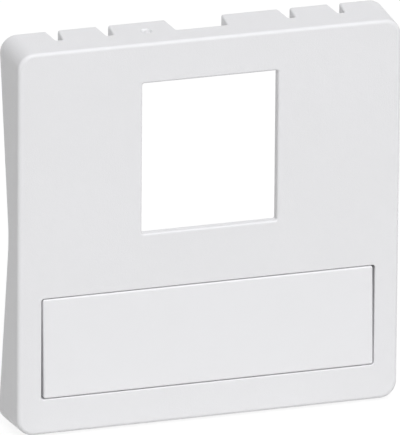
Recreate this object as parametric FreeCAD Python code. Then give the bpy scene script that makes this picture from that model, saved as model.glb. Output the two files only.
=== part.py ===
# Data outlet cover plate for one 50 mm wiring module, seen as it sits on a wall.
# Millimetres. X runs to the right, Y runs into the wall, Z runs up.
# The origin is the middle of the plane in which the rear rim lies.
import FreeCAD
import Part
import math
import os

os.makedirs("parts", exist_ok=True)
Vector = FreeCAD.Vector

# Outer shell
module_width = 50.0  # across the front edge
module_height = 50.0
plate_depth = 7.0  # front face to rear rim
side_draft = 1.5  # degrees, left and right walls; the rim is wider than the front
end_draft = 3.0  # degrees, top and bottom walls
corner_radius = 2.2
front_round = 0.5
face_thickness = 1.1
wall_thickness = 1.4
inner_round = 0.6  # where the walls meet the back of the face

# Waist: the rear edge of each side wall falls in two slopes towards mid height
waist_meet = 3.46  # front face to the point where the two slopes would meet
waist_round = 14.0

# Clip tongues, cut free in the top and bottom walls by slots from the rim
tongue_middle = 15.15  # from the middle of the plate
tongue_width = 5.1
slot_width = 1.45  # at the rim
slot_depth = 3.1
slot_taper = 5.5  # degrees on each side, the mouth is wider
slot_round = 0.25
slot_edge_round = 0.25  # where the slots meet the rim and the outside of the wall
middle_gap = 7.3  # wide gap between the two inner tabs, at the rim
gap_depth = 3.4

# Catch on the inside of each tongue
catch_width = 3.4
catch_height = 0.7
catch_lead = 1.2  # sloped lead from the rim
catch_flat = 0.3
catch_back = 0.6  # steeper slope that holds

# Jack window and the locating collar behind it
window_width = 17.7
window_height = 19.65
window_top_margin = 5.25
window_corner = 0.25
window_round = 0.28
collar_offset = 0.9
collar_wall = 1.0
collar_height = 1.2

# Label pocket
pocket_side_margin = 3.12
pocket_bottom_margin = 4.62
pocket_height = 13.25
pocket_depth = 1.9
pocket_floor = 1.1
pocket_wall = 1.2
pocket_corner = 0.35
pocket_round = 0.15

# Label cover
label_gap = 0.09  # along each long edge, between the cover and its pocket
label_end_gap = 0.12  # at the tight corner of each end
label_lean = 0.18  # each end is cut back by this much at its other corner, for a blade
label_shift = 0.03  # it lies a little to the right in its play
label_corner = 0.3
label_panel = 1.1
label_rim = 1.0
label_round = 0.25
leg_inset = 2.0  # end of the cover to the outer face of its leg
leg_width = 5.0
leg_thickness = 1.0
leg_reach = 1.0  # past the back of the pocket floor
leg_tip = 0.3
leg_fit = 0.08

# Marks of the mould: one gate mark on the top wall, ejector marks on the back
gate_side = -7.1  # from the middle of the plate
gate_from_rim = 2.95
gate_radius = 0.78
gate_floor_radius = 0.5
gate_depth = 0.28
gate_stub_foot = 0.42  # radius of the broken stub in the mark
gate_stub_tip = 0.12
gate_stub_over = 0.04  # its tip over the wall
ejector_radius = 1.5
ejector_depth = 0.12
ejector_side = 17.5
ejector_rows = (17.5, -2.0)

# Places worked out from the sizes above
overrun = 1.0  # how far a cut runs past the solid
touch = 1e-4
front = -plate_depth
face_back = front + face_thickness
side_slope = math.tan(math.radians(side_draft))
end_slope = math.tan(math.radians(end_draft))
window_middle = module_height / 2 - window_top_margin - window_height / 2
pocket_width = module_width - 2 * pocket_side_margin
pocket_middle = -module_height / 2 + pocket_bottom_margin + pocket_height / 2
pocket_back = front + pocket_depth
floor_back = pocket_back + pocket_floor
label_tight = pocket_width / 2 - label_end_gap
label_slack = label_tight - label_lean
label_height = pocket_height - 2 * label_gap
leg_middle = label_slack - leg_inset - leg_thickness / 2


def half_width(y):
    """Half of the outer width at depth y, with the draft."""
    return module_width / 2 + (y - front) * side_slope


def half_height(y):
    """Half of the outer height at depth y, with the draft."""
    return module_height / 2 + (y - front) * end_slope


def runs_in_depth(edge):
    """True for an edge that goes from front to rear."""
    box = edge.BoundBox
    return box.YLength > max(box.XLength, box.ZLength)


def lies_at(edge, y):
    """True for an edge that lies in the plane at depth y."""
    box = edge.BoundBox
    return abs(box.YMin - y) < touch and abs(box.YMax - y) < touch


def runs_up(edge):
    """True for a straight edge along Z."""
    box = edge.BoundBox
    return box.XLength < touch and box.YLength < touch


def edges_a_slot(edge):
    """True where the side of a slot meets the rim, or the outside of the top or bottom wall."""
    middle = edge.BoundBox.Center
    on_rim = lies_at(edge, 0) and runs_up(edge)
    on_wall = runs_in_depth(edge) and abs(abs(middle.z) - half_height(middle.y)) < touch
    return (on_rim or on_wall) and abs(middle.x) < module_width / 2 - corner_radius - touch


def front_edges_within(shape, block):
    """Edges of the front face that lie within a block that cut it."""
    box = block.BoundBox
    box.enlarge(touch)
    return [e for e in shape.Edges if lies_at(e, front) and box.isInside(e.BoundBox)]


def drafted_block(inset, y_low, y_high, radius):
    """Block between two depths, with rounded corners, inset from the outer drafted walls."""
    x_low, x_high = half_width(y_low) - inset, half_width(y_high) - inset
    z_low, z_high = half_height(y_low) - inset, half_height(y_high) - inset
    block = Part.makeWedge(-x_low, y_low, -z_low, -z_high, -x_high,
                           x_low, y_high, z_low, z_high, x_high)
    return block.makeFillet(radius, [e for e in block.Edges if runs_in_depth(e)])


def rounded_block(width, height, radius, y_low, y_high, z_middle):
    """Straight block with rounded corners, centred on X."""
    corner = Vector(-width / 2, y_low, z_middle - height / 2)
    block = Part.makeBox(width, y_high - y_low, height, corner)
    return block.makeFillet(radius, [e for e in block.Edges if runs_in_depth(e)])


def disc(x, y_low, y_high, z, radius):
    """Round disc with its axis along Y."""
    return Part.makeCylinder(radius, y_high - y_low, Vector(x, y_low, z), Vector(0, 1, 0))


def above_and_below(shapes):
    """The shapes for the top wall, and their mirror images for the bottom wall."""
    return shapes + [s.mirror(Vector(0, 0, 0), Vector(0, 0, 1)) for s in shapes]


def left_and_right(shapes):
    """The shapes for the right-hand side, and their mirror images for the left."""
    return shapes + [s.mirror(Vector(0, 0, 0), Vector(1, 0, 0)) for s in shapes]


def shell():
    """Open box: the face and four drafted walls."""
    outer = drafted_block(0, front, 0, corner_radius)
    outer = outer.makeFillet(front_round, [e for e in outer.Edges if lies_at(e, front)])
    hollow = drafted_block(wall_thickness, face_back, overrun, corner_radius - wall_thickness)
    hollow = hollow.makeFillet(inner_round, [e for e in hollow.Edges if lies_at(e, face_back)])
    return outer.cut(hollow)


def pocket_tray():
    """Thick band behind the label pocket, from side wall to side wall."""
    half = module_width / 2 - wall_thickness / 2
    height = pocket_height + 2 * pocket_wall
    y_low = front + face_thickness / 2
    corner = Vector(-half, y_low, pocket_middle - height / 2)
    return Part.makeBox(2 * half, floor_back - y_low, height, corner)


def window_collar():
    """Low rib round the back of the jack window."""
    def ring_block(grow, y_low, y_high):
        return rounded_block(window_width + 2 * grow, window_height + 2 * grow,
                             window_corner + grow, y_low, y_high, window_middle)
    y_low = front + face_thickness / 2
    y_high = face_back + collar_height
    outside = ring_block(collar_offset + collar_wall, y_low, y_high)
    return outside.cut(ring_block(collar_offset, face_back, y_high + overrun))


def rim_slot(x_middle, width, depth):
    """Tapered slot through the top wall, open at the rim."""
    slope = math.tan(math.radians(slot_taper))
    low_half = width / 2 - depth * slope
    high_half = width / 2 + overrun * slope
    z_low = half_height(-depth) - wall_thickness - overrun
    z_high = half_height(0) + overrun
    slot = Part.makeWedge(x_middle - low_half, -depth, z_low, z_low, x_middle - high_half,
                          x_middle + low_half, overrun, z_high, z_high, x_middle + high_half)
    floor_edges = [e for e in slot.Edges if lies_at(e, -depth) and runs_up(e)]
    return slot.makeFillet(slot_round, floor_edges)


def rim_slots():
    """Slots beside the clip tongues and the wide gap, in the top and bottom walls."""
    offset = tongue_width / 2 + slot_width / 2
    slots = [rim_slot(tongue_middle + side, slot_width, slot_depth) for side in (-offset, offset)]
    return above_and_below(left_and_right(slots) + [rim_slot(0, middle_gap, gap_depth)])


def waist_cuts():
    """Shallow V, rounded at its point, cut into the rear edge of both side walls."""
    z_end = half_height(0) - wall_thickness
    y_point = front + waist_meet
    z_past = z_end * (overrun - y_point) / -y_point
    x_inner = half_width(0) - corner_radius
    x_outer = half_width(0) + overrun
    outline = Part.makePolygon([Vector(x_inner, overrun, -z_past), Vector(x_inner, y_point, 0),
                                Vector(x_inner, overrun, z_past), Vector(x_inner, overrun, -z_past)])
    cut = Part.Face(outline).extrude(Vector(x_outer - x_inner, 0, 0))
    cut = cut.makeFillet(waist_round, [e for e in cut.Edges if lies_at(e, y_point)])
    return left_and_right([cut])


def catches():
    """Wedge on the inside of each tongue: long lead from the rim, short holding slope."""
    z_rim = half_height(0) - wall_thickness
    z_end = half_height(-(catch_lead + catch_flat + catch_back)) - wall_thickness
    z_root = z_rim + wall_thickness / 2
    y_crest = -catch_lead - catch_flat
    profile = [(0, z_root), (0, z_rim), (-catch_lead, z_rim - catch_height),
               (y_crest, z_rim - catch_height), (y_crest - catch_back, z_end),
               (y_crest - catch_back, z_root), (0, z_root)]
    x_low = tongue_middle - catch_width / 2
    outline = Part.makePolygon([Vector(x_low, y, z) for y, z in profile])
    catch = Part.Face(outline).extrude(Vector(catch_width, 0, 0))
    return above_and_below(left_and_right([catch]))


def leg_slots():
    """Slots in the pocket floor for the legs of the label cover."""
    width, height = leg_thickness + 2 * leg_fit, leg_width + 2 * leg_fit
    corner = Vector(leg_middle - width / 2, pocket_back - overrun, pocket_middle - height / 2)
    slot = Part.makeBox(width, pocket_floor + 2 * overrun, height, corner)
    return left_and_right([slot])


def ejector_marks():
    """Shallow round marks on the back of the face."""
    y_low, y_high = face_back - ejector_depth, face_back + overrun
    return left_and_right([disc(ejector_side, y_low, y_high, z, ejector_radius) for z in ejector_rows])


def gate_axis(height):
    """Point on the axis of the gate mark, at a height over the top wall there."""
    return Vector(gate_side, -gate_from_rim, half_height(-gate_from_rim) + height)


def gate_dish():
    """Sunk round of the gate mark, wider towards the wall."""
    spread = (gate_radius - gate_floor_radius) / gate_depth
    return Part.makeCone(gate_floor_radius, gate_radius + overrun * spread,
                         gate_depth + overrun, gate_axis(-gate_depth))


def gate_stub():
    """Low cone that stands in the gate mark, rooted below its floor."""
    spread = (gate_stub_foot - gate_stub_tip) / (gate_depth + gate_stub_over)
    return Part.makeCone(gate_stub_foot + gate_depth * spread, gate_stub_tip,
                         2 * gate_depth + gate_stub_over, gate_axis(-2 * gate_depth))


def cover_plate():
    """The whole moulding with its window, pocket, tongues and catches."""
    plate = shell().fuse([pocket_tray(), window_collar()]).removeSplitter()
    window = rounded_block(window_width, window_height, window_corner,
                           front - overrun, face_back + overrun, window_middle)
    pocket = rounded_block(pocket_width, pocket_height, pocket_corner,
                           front - overrun, pocket_back, pocket_middle)
    plate = plate.cut([window, pocket] + leg_slots() + ejector_marks())
    for block, radius in ((window, window_round), (pocket, pocket_round)):
        plate = plate.makeFillet(radius, front_edges_within(plate, block))
    plate = plate.cut(rim_slots() + waist_cuts())
    plate = plate.makeFillet(slot_edge_round, [e for e in plate.Edges if edges_a_slot(e)])
    plate = plate.fuse(catches()).removeSplitter()
    return plate.cut(gate_dish()).fuse(gate_stub())


def label_block():
    """Block with the outline of the label cover. Its ends lean, with a tight and a slack corner."""
    z_low, z_high = pocket_middle - label_height / 2, pocket_middle + label_height / 2
    corners = [(-label_slack, z_low), (label_tight, z_low), (label_slack, z_high), (-label_tight, z_high)]
    outline = Part.makePolygon([Vector(x, front, z) for x, z in corners + corners[:1]])
    block = Part.Face(outline).extrude(Vector(0, pocket_depth, 0))
    return block.makeFillet(label_corner, [e for e in block.Edges if runs_in_depth(e)])


def label_cover():
    """Flush panel, hollow behind, with one push-fit leg near each end."""
    cover = label_block()
    cover = cover.makeFillet(label_round, [e for e in cover.Edges if lies_at(e, front)])
    relief = rounded_block(2 * (label_slack - label_rim), label_height - 2 * label_rim,
                           label_corner, front + label_panel, pocket_back + overrun, pocket_middle)
    y_low, y_high = front + label_panel / 2, floor_back + leg_reach
    corner = Vector(leg_middle - leg_thickness / 2, y_low, pocket_middle - leg_width / 2)
    leg = Part.makeBox(leg_thickness, y_high - y_low, leg_width, corner)
    leg = leg.makeChamfer(leg_tip, [e for e in leg.Edges if lies_at(e, y_high) and runs_up(e)])
    cover = cover.cut(relief).fuse(left_and_right([leg])).removeSplitter()
    cover.translate(Vector(label_shift, 0, 0))
    return cover


for name, shape in (("cover_plate", cover_plate()), ("label_cover", label_cover())):
    solid = shape.Solids[0]
    print(name, len(shape.Solids), solid.isValid(), round(solid.Volume, 2))
    solid.exportStep("parts/" + name + ".step")
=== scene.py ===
import math
import bpy
import numpy as np
from mathutils import Matrix, Vector


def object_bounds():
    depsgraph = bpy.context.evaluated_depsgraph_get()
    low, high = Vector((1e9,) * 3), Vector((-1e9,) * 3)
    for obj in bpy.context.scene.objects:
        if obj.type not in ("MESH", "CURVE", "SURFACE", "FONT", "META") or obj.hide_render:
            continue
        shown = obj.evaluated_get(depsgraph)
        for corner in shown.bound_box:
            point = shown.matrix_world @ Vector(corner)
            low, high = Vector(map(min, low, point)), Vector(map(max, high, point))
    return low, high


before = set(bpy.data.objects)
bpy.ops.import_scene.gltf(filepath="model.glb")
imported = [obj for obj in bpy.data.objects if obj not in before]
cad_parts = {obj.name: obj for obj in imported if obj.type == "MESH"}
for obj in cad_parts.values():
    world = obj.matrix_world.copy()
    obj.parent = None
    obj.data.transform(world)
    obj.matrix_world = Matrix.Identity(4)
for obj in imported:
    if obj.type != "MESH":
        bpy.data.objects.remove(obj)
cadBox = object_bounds()
print("cover plate loaded:", ", ".join(sorted(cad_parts)))

mm = 0.001


# One output socket of a node. Sums, differences and products of wires add Math nodes.
class Wire:
    def __init__(self, sheet, socket):
        self.sheet, self.socket = sheet, socket

    def math(self, operation, *values):
        return self.sheet.make("ShaderNodeMath", {"operation": operation}, dict(enumerate(values)))

    def other(self, name):  # another output of the same node
        return Wire(self.sheet, self.socket.node.outputs[name])

    def __add__(self, value):
        return self.math("ADD", self, value)

    def __sub__(self, value):
        return self.math("SUBTRACT", self, value)

    def __mul__(self, value):
        return self.math("MULTIPLY", self, value)

    def __radd__(self, value):
        return self.math("ADD", value, self)

    def __rsub__(self, value):
        return self.math("SUBTRACT", value, self)

    def __rmul__(self, value):
        return self.math("MULTIPLY", value, self)

    def __abs__(self):
        return self.math("ABSOLUTE", self)


# The node tree of one finish, or of the world
class NodeSheet:
    def __init__(self, owner):
        owner.use_nodes = True
        self.tree = owner.node_tree
        self.tree.nodes.clear()

    # Settings go in first, then each socket gets a value or a wire. The wire of one output comes back.
    def make(self, kind, settings=None, values=None, output=0):
        node = self.tree.nodes.new(kind)
        for name, setting in (settings or {}).items():
            setattr(node, name, setting)
        for name, value in (values or {}).items():
            if isinstance(value, Wire):
                self.tree.links.new(value.socket, node.inputs[name])
            else:
                node.inputs[name].default_value = value
        return Wire(self, node.outputs[output]) if node.outputs else None

    # 0 below the first number, 1 above the second, and a smooth slope between them
    def ramp(self, value, low, high):
        return self.make("ShaderNodeMapRange", {"interpolation_type": "SMOOTHSTEP"},
                         {"Value": value, "From Min": low, "From Max": high})

    # Soft random values, mostly between 0.3 and 0.7
    def noise(self, place, scale, detail, roughness=0.55):
        return self.make("ShaderNodeTexNoise", None,
                         {"Vector": place, "Scale": scale, "Detail": detail, "Roughness": roughness})

    # The first colour where the factor is 0, the second where it is 1
    def mixColours(self, factor, first, second):
        return self.make("ShaderNodeMix", {"data_type": "RGBA"},
                         {0: factor, 6: first, 7: second}, output=2)


def opaque(colour):
    return (*colour, 1.0)


# Satin white mouldings. Sizes in millimetres. First what both have, then each one's own.
moulding = {
    "cloudLevels": (0.3, 0.7),  # noise at which the cloudy white starts and is full
    "patchesPerMm": 0.35,  # patches of duller and brighter gloss
    "noiseMiddle": 0.5,
    "coreFace": -6.2,  # the core side lies behind this depth
    "coreFade": 0.2,  # and its finish comes in over this much more
    "coreLines": 1.75,  # milled lines on the core side, per millimetre along an axis
    "coreLineHeight": 0.006,
    "coreLineWander": 0.6,
    "gateMiddle": 0.3,  # the blush and the tear are full up to here
    "blushDull": 0.12,  # what the blush adds to the roughness
    "tornPerMm": 1.65,  # lumps where the gate was torn off
    "tornHeight": 0.45,  # from noise 0 to noise 1, so the lumps are less than half of it
    "refraction": 1.5,
}

plateFinish = {
    "white": (0.79, 0.79, 0.802),
    "cloudyWhite": (0.782, 0.782, 0.792),  # faint clouds in the white
    "cloudSize": 14.0,
    "satin": 0.42,
    "satinSpread": 0.08,
    "grainSize": 0.12,
    "grainHeight": 0.02,
    "coreSatin": 0.56,  # the side of the mould's core is rougher
    "coreWall": 24.3,  # that side lies within this distance of the middle
    "gate": (-7.1, -2.95, 25.2),
    "gateBlush": 2.4,
    "gateTorn": 0.95,
}

labelFinish = {
    "white": (0.812, 0.812, 0.824),
    "cloudyWhite": (0.806, 0.806, 0.817),
    "cloudSize": 11.0,
    "satin": 0.36,
    "satinSpread": 0.06,
    "grainSize": 0.09,
    "grainHeight": 0.012,
    "coreSatin": 0.54,
    "coreWall": 21.0,
    "gate": (0.0, -5.5, -13.76),
    "gateBlush": 1.6,
    "gateTorn": 0.5,
}


# Moulded white: faint clouds of colour, a fine satin grain, a blush round the gate,
# and a rougher core side with milled lines. Roughness is the satin value, plus patches and grain
# about their middle, plus what the core side and the blush add. Relief is grain plus milled lines
# plus the lumps of the torn gate.
def mouldedWhite(name, finish):
    material = bpy.data.materials.new(name)
    sheet = NodeSheet(material)
    place = sheet.make("ShaderNodeVectorMath", {"operation": "SCALE"},
                       {0: sheet.make("ShaderNodeTexCoord", output="Object"), "Scale": 1 / mm})
    x = sheet.make("ShaderNodeSeparateXYZ", None, {0: place})
    y, z = x.other("Y"), x.other("Z")

    clouds = sheet.noise(place, 1 / finish["cloudSize"], detail=3.0)
    patches = sheet.noise(place, moulding["patchesPerMm"], detail=4.0)
    grain = sheet.noise(place, 1 / finish["grainSize"], detail=2.0)

    wall, face, fade = finish["coreWall"], moulding["coreFace"], moulding["coreFade"]
    core = (sheet.ramp(y, face, face + fade) * (1 - sheet.ramp(abs(x), wall, wall + fade))
            * (1 - sheet.ramp(abs(z), wall, wall + fade)))
    reach = sheet.make("ShaderNodeVectorMath", {"operation": "DISTANCE"},
                       {0: place, 1: finish["gate"]}, output="Value")
    blush = (1 - sheet.ramp(reach, moulding["gateMiddle"], finish["gateBlush"])) * patches

    cloudy = sheet.ramp(clouds, *moulding["cloudLevels"])
    colour = sheet.mixColours(cloudy, opaque(finish["white"]), opaque(finish["cloudyWhite"]))
    middle, spread = moulding["noiseMiddle"], finish["satinSpread"]
    satin = (finish["satin"] + (patches - middle) * spread + (grain - middle) * spread
             + core * (finish["coreSatin"] - finish["satin"]) + blush * moulding["blushDull"])
    bandScale = moulding["coreLines"] * math.tau / 10  # a scale of 1 is 10 radians per unit
    lines = sheet.make("ShaderNodeTexWave", {"wave_type": "BANDS", "bands_direction": "DIAGONAL"},
                       {"Vector": place, "Scale": bandScale,
                        "Distortion": moulding["coreLineWander"], "Detail": 1.0})
    torn = 1 - sheet.ramp(reach, moulding["gateMiddle"], finish["gateTorn"])
    lumps = sheet.noise(place, moulding["tornPerMm"], detail=1.0) - middle
    relief = (grain * finish["grainHeight"] + lines * core * moulding["coreLineHeight"]
              + torn * lumps * moulding["tornHeight"])
    bump = sheet.make("ShaderNodeBump", None, {"Strength": 1.0, "Distance": mm, "Height": relief})
    shader = sheet.make("ShaderNodeBsdfPrincipled", None,
                        {"Base Color": colour, "Roughness": satin, "Normal": bump,
                         "IOR": moulding["refraction"]})
    sheet.make("ShaderNodeOutputMaterial", None, {"Surface": shader})
    return material


def dress(node, material):
    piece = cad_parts[node]
    for slot in piece.material_slots:
        slot.material = material


dress("cover_plate", mouldedWhite("plate_white", plateFinish))
dress("label_cover", mouldedWhite("label_white", labelFinish))
print("finishes on: plate_white, label_white")

# The room: a pale floor under the plate and a plain light all round
room = {
    "floorReach": 3.0,  # metres
    "floorGap": 0.02,  # millimetres under the plate
    "floorPale": (0.64, 0.64, 0.63),
    "floorGlow": 0.89,  # what the camera sees is lifted to white, and a faint shadow stays
    "floorSeen": (0.15, 0.15, 0.15),
    "before": (0.62, 0.62, 0.614),  # light from the side of the camera
    "behind": (0.04, 0.04, 0.04),
    "turnover": 0.7,  # the one fades into the other from minus this to this, across
    "backdrop": (1.0, 1.0, 1.0),
}


# 1 for what the camera sees, straight, in a reflection or through a clear surface
def seenRay(sheet):
    rays = sheet.make("ShaderNodeLightPath", output="Is Camera Ray")
    seen = rays.math("MAXIMUM", rays, rays.other("Is Glossy Ray"))
    return seen.math("MAXIMUM", seen, rays.other("Is Transmission Ray"))


# Flat square, x and y each running from -reach to reach in even steps, at one height
def floorMesh(reach, height, cells=8):
    row = cells + 1
    steps = np.linspace(-reach, reach, row)
    x, y = np.meshgrid(steps, steps)
    points = np.stack([x, y, np.full_like(x, height)], -1).reshape(-1, 3)
    first = (np.arange(cells)[:, None] * row + np.arange(cells)).ravel()
    squares = np.stack([first, first + 1, first + row + 1, first + row], -1)
    mesh = bpy.data.meshes.new("floor")
    mesh.from_pydata(points.tolist(), [], squares.tolist())
    return mesh


# Pale to the light, and nearly white to the camera
def layFloor():
    material = bpy.data.materials.new("floor_pale")
    sheet = NodeSheet(material)
    plain = sheet.make("ShaderNodeBsdfDiffuse", None, {"Color": opaque(room["floorPale"])})
    shade = sheet.make("ShaderNodeBsdfDiffuse", None, {"Color": opaque(room["floorSeen"])})
    glow = sheet.make("ShaderNodeEmission", None,
                      {"Color": opaque(room["backdrop"]), "Strength": room["floorGlow"]})
    lifted = sheet.make("ShaderNodeAddShader", None, {0: shade, 1: glow})
    mixed = sheet.make("ShaderNodeMixShader", None, {0: seenRay(sheet), 1: plain, 2: lifted})
    sheet.make("ShaderNodeOutputMaterial", None, {"Surface": mixed})
    mesh = floorMesh(room["floorReach"], cadBox[0].z - room["floorGap"] * mm)
    mesh.materials.append(material)
    floor = bpy.data.objects.new("floor", mesh)
    bpy.context.scene.collection.objects.link(floor)


# Even light that falls off from the camera's side to the far side, with a white backdrop
def lightAround():
    world = bpy.data.worlds.new("plain_light")
    bpy.context.scene.world = world
    sheet = NodeSheet(world)
    direction = sheet.make("ShaderNodeTexCoord", output="Generated")
    across = sheet.make("ShaderNodeSeparateXYZ", None, {0: direction}).other("Y")
    far = sheet.ramp(across, -room["turnover"], room["turnover"])
    dome = sheet.mixColours(far, opaque(room["before"]), opaque(room["behind"]))
    soft = sheet.make("ShaderNodeBackground", None, {"Color": dome, "Strength": 1.0})
    plain = sheet.make("ShaderNodeBackground", None, {"Color": opaque(room["backdrop"]), "Strength": 1.0})
    mixed = sheet.make("ShaderNodeMixShader", None, {0: seenRay(sheet), 1: soft, 2: plain})
    sheet.make("ShaderNodeOutputWorld", None, {"Surface": mixed})


layFloor()
lightAround()

# Softboxes: where each hangs as seen from the plate, how far off and how wide in metres, how bright
# it makes a white surface that faces it, and whether gloss shows it
softboxes = {
    "top_box": {"toward": (0.0, -0.64, 0.768), "off": 3.6, "wide": 2.2, "adds": 0.7,
                "tint": (0.975, 0.975, 1.0), "gloss": True},
    "back_box": {"toward": (0.12, 0.98, 0.15), "off": 2.4, "wide": 1.4, "adds": 0.65,
                 "tint": (1.0, 1.0, 1.0), "gloss": False},
}


# Watts are pi squared times the brightness it adds times its distance squared
def hangSoftbox(name, box):
    lamp = bpy.data.lights.new(name, "AREA")
    lamp.shape, lamp.size, lamp.color = "SQUARE", box["wide"], box["tint"]
    lamp.energy = box["adds"] * math.pi ** 2 * box["off"] ** 2
    toward = Vector(box["toward"]).normalized()
    hung = bpy.data.objects.new(name, lamp)
    hung.location = toward * box["off"]
    hung.rotation_euler = toward.to_track_quat("Z", "Y").to_euler()
    hung.visible_camera = False
    hung.visible_glossy = box["gloss"]
    bpy.context.scene.collection.objects.link(hung)


for name, box in softboxes.items():
    hangSoftbox(name, box)
print("room lit by", ", ".join(softboxes))

# Camera of the photograph: angles in degrees, lengths in millimetres, image and focal length in pixels
shot = {
    "turn": 18.6728,  # to the left of straight on
    "lift": 19.0282,
    "roll": 0.4424,
    "off": 1566.24,
    "aim": (-1.2662, -7.0, 1.52),
    "focal": 12609.0,
    "image": (400, 435),
    "sensor": 36.0,
    "near": 50.0,
    "far": 50000.0,
}


# Stands off from the aim along the turned and lifted line of sight, then rolls about that line
def setCamera():
    turn, lift, roll = (math.radians(shot[angle]) for angle in ("turn", "lift", "roll"))
    back = Vector((-math.sin(turn) * math.cos(lift), -math.cos(turn) * math.cos(lift), math.sin(lift)))
    right = Vector((math.cos(turn), -math.sin(turn), 0.0))
    up = back.cross(right)
    rolledRight = right * math.cos(roll) + up * math.sin(roll)
    rolledUp = up * math.cos(roll) - right * math.sin(roll)
    camera = bpy.data.cameras.new("photo_camera")
    camera.sensor_width = shot["sensor"]
    camera.lens = shot["focal"] * shot["sensor"] / max(shot["image"])
    camera.clip_start, camera.clip_end = shot["near"] * mm, shot["far"] * mm
    place = Matrix((rolledRight, rolledUp, back)).transposed().to_4x4()
    place.translation = (Vector(shot["aim"]) + back * shot["off"]) * mm
    stand = bpy.data.objects.new("photo_camera", camera)
    stand.matrix_world = place
    bpy.context.scene.collection.objects.link(stand)
    bpy.context.scene.camera = stand


setCamera()
bpy.context.scene.view_settings.view_transform = "Standard"
print("camera set")
